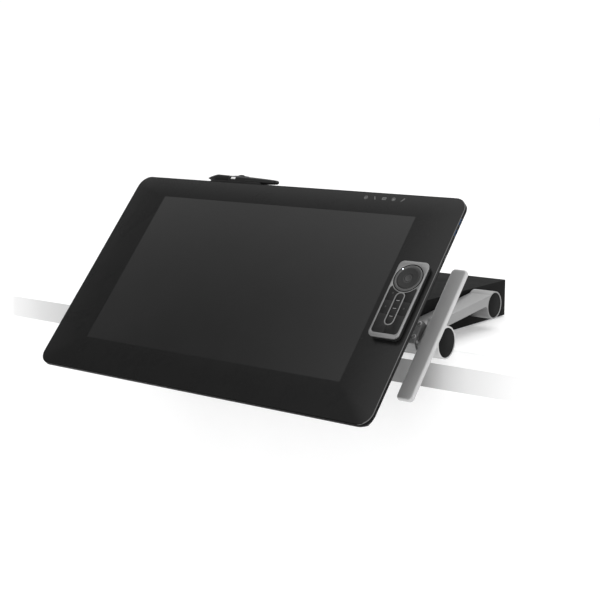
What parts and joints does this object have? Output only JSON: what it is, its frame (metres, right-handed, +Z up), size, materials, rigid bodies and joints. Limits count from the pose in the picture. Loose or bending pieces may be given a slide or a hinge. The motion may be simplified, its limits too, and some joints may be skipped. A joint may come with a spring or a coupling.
{
  "type": "pen display on articulated desk stand",
  "caption": "Large pen display on a low desk base with two swing arms, a tilting head, side levers, a pen in its tray and a key remote on the bezel.",
  "frame": {"origin": "centre of the lower face of the base's anti-slip pad, where the stand meets the desk", "axes": "+X to the user's right, +Y away from the user, +Z up; the display faces -Y and up"},
  "size_m": [0.6776, 0.5596, 0.3109],
  "materials": {
    "alloy": "satin painted light grey",
    "alloy_dark": "anodised dark grey",
    "base_black": "satin black textured",
    "base_steel": "zinc plated",
    "board": "circuit board",
    "bronze": "sintered bronze",
    "button": "satin",
    "cap_black": "satin",
    "cover_glass": "etched black glass",
    "fan_black": "satin",
    "frame_edge": "satin anodised with a bright chamfer",
    "iron": "cast",
    "key_black": "satin",
    "lcd": "dark",
    "nib": "matt",
    "pen_body": "satin dark grey",
    "pen_gloss": "gloss black",
    "pen_rubber": "soft grip",
    "port_blue": "blue",
    "port_shell": "nickel",
    "rear_metal": "painted black",
    "remote_alloy": "bead blasted",
    "remote_black": "satin",
    "ring_black": "satin gloss",
    "rubber": "matt",
    "screw": "polished",
    "spring_steel": "oiled",
    "tray": "satin",
    "washer": "acetal"
  },
  "bodies": {
    "base": {"base_cover": "base_black", "base_plate": "base_steel", "base_pad": "rubber", "ballast_blocks": "iron", "bearing_blocks": "base_steel", "shaft_bushes": "bronze", "counterbalance_springs": "spring_steel", "base_screws": "screw"},
    "arms": {"arm_right": "alloy", "arm_left": "alloy", "rear_shaft": "base_steel", "spring_collars": "base_steel", "cross_tube": "alloy", "pivot_pins": "base_steel", "arm_end_caps": "cap_black", "friction_washers": "washer"},
    "display": {"tilt_beam": "alloy_dark", "tilt_bracket_right": "alloy_dark", "tilt_bracket_left": "alloy_dark", "bracket_screws": "screw", "mount_block": "alloy_dark", "back_plate": "base_steel", "cover_glass": "cover_glass", "lcd_panel": "lcd", "front_frame": "frame_edge", "rear_cover": "rear_metal", "main_board": "board", "rear_screws": "screw", "side_ports": "port_shell", "port_tongues": "port_blue", "rear_inlets": "port_shell", "fan_frame": "fan_black", "pen_tray": "tray"},
    "lever_right": {"lever_right": "alloy", "lever_cap_right": "cap_black"},
    "lever_left": {"lever_left": "alloy", "lever_cap_left": "cap_black"},
    "fan": {"fan_impeller": "fan_black"},
    "power_button": {"power_button": "button"},
    "pen": {"pen_barrel": "pen_body", "pen_grip": "pen_rubber", "pen_nose": "pen_body"},
    "pen_nib": {"pen_nib": "nib"},
    "pen_switch": {"pen_switch": "pen_gloss"},
    "pen_eraser": {"pen_eraser": "pen_body"},
    "remote": {"remote_base": "remote_black", "remote_frame": "remote_alloy", "remote_ring": "ring_black", "remote_feet": "rubber"},
    "ring_button": {"ring_button": "ring_black"},
    "left_key_1": {"left_key_1": "key_black"},
    "left_key_2": {"left_key_2": "key_black"},
    "left_key_3": {"left_key_3": "key_black"},
    "right_key_1": {"right_key_1": "key_black"},
    "right_key_2": {"right_key_2": "key_black"},
    "right_key_3": {"right_key_3": "key_black"},
    "middle_key_1": {"middle_key_1": "key_black"},
    "middle_key_2": {"middle_key_2": "key_black"},
    "middle_key_3": {"middle_key_3": "key_black"},
    "middle_key_4": {"middle_key_4": "key_black"}
  },
  "joints": [
    {"name": "arm_raise", "type": "hinge", "parent": "base", "child": "arms", "pos_m": [0, 0.026, 0.041], "axis": [-1, 0, 0], "range_deg": [-5, 50]},
    {"name": "display_tilt", "type": "hinge", "parent": "arms", "child": "display", "pos_m": [0, -0.18265, 0.01723], "axis": [1, 0, 0], "range_deg": [-40, 60]},
    {"name": "lever_right_pull", "type": "hinge", "parent": "display", "child": "lever_right", "pos_m": [0, -0.18265, 0.01723], "axis": [-1, 0, 0], "range_deg": [0, 8], "stiffness_Nm_per_rad": 2, "springref_deg": -5.73},
    {"name": "lever_left_pull", "type": "hinge", "parent": "display", "child": "lever_left", "pos_m": [0, -0.18265, 0.01723], "axis": [-1, 0, 0], "range_deg": [0, 8], "stiffness_Nm_per_rad": 2, "springref_deg": -5.73},
    {"name": "fan_spin", "type": "hinge", "parent": "display", "child": "fan", "pos_m": [-0.15, -0.23784, 0.09966], "axis": [0, -0.7478, 0.6639], "continuous": true},
    {"name": "power_press", "type": "slide", "parent": "display", "child": "power_button", "axis": [-1, 0, 0], "range_m": [0, 0.0006], "stiffness_N_per_m": 400},
    {"name": "pen_lift", "type": "slide", "parent": "display", "child": "pen", "axis": [0, 0.6639, 0.7478], "range_m": [0, 0.06]},
    {"name": "nib_press", "type": "slide", "parent": "pen", "child": "pen_nib", "axis": [1, 0, 0], "range_m": [0, 0.0008], "stiffness_N_per_m": 200},
    {"name": "switch_rock", "type": "hinge", "parent": "pen", "child": "pen_switch", "pos_m": [-0.123, -0.13515, 0.23943], "axis": [0, -0.7478, 0.6639], "range_deg": [-3, 3], "stiffness_Nm_per_rad": 0.5},
    {"name": "eraser_press", "type": "slide", "parent": "pen", "child": "pen_eraser", "axis": [-1, 0, 0], "range_m": [0, 0.0007], "stiffness_N_per_m": 300},
    {"name": "remote_lift", "type": "slide", "parent": "display", "child": "remote", "axis": [0, -0.7478, 0.6639], "range_m": [0, 0.05]},
    {"name": "ring_button_press", "type": "slide", "parent": "remote", "child": "ring_button", "axis": [0, 0.7478, -0.6639], "range_m": [0, 0.0008], "stiffness_N_per_m": 400},
    {"name": "left_key_1_press", "type": "slide", "parent": "remote", "child": "left_key_1", "axis": [0, 0.7478, -0.6639], "range_m": [0, 0.0008], "stiffness_N_per_m": 400},
    {"name": "left_key_2_press", "type": "slide", "parent": "remote", "child": "left_key_2", "axis": [0, 0.7478, -0.6639], "range_m": [0, 0.0008], "stiffness_N_per_m": 400},
    {"name": "left_key_3_press", "type": "slide", "parent": "remote", "child": "left_key_3", "axis": [0, 0.7478, -0.6639], "range_m": [0, 0.0008], "stiffness_N_per_m": 400},
    {"name": "right_key_1_press", "type": "slide", "parent": "remote", "child": "right_key_1", "axis": [0, 0.7478, -0.6639], "range_m": [0, 0.0008], "stiffness_N_per_m": 400},
    {"name": "right_key_2_press", "type": "slide", "parent": "remote", "child": "right_key_2", "axis": [0, 0.7478, -0.6639], "range_m": [0, 0.0008], "stiffness_N_per_m": 400},
    {"name": "right_key_3_press", "type": "slide", "parent": "remote", "child": "right_key_3", "axis": [0, 0.7478, -0.6639], "range_m": [0, 0.0008], "stiffness_N_per_m": 400},
    {"name": "middle_key_1_press", "type": "slide", "parent": "remote", "child": "middle_key_1", "axis": [0, 0.7478, -0.6639], "range_m": [0, 0.0008], "stiffness_N_per_m": 400},
    {"name": "middle_key_2_press", "type": "slide", "parent": "remote", "child": "middle_key_2", "axis": [0, 0.7478, -0.6639], "range_m": [0, 0.0008], "stiffness_N_per_m": 400},
    {"name": "middle_key_3_press", "type": "slide", "parent": "remote", "child": "middle_key_3", "axis": [0, 0.7478, -0.6639], "range_m": [0, 0.0008], "stiffness_N_per_m": 400},
    {"name": "middle_key_4_press", "type": "slide", "parent": "remote", "child": "middle_key_4", "axis": [0, 0.7478, -0.6639], "range_m": [0, 0.0008], "stiffness_N_per_m": 400}
  ]
}
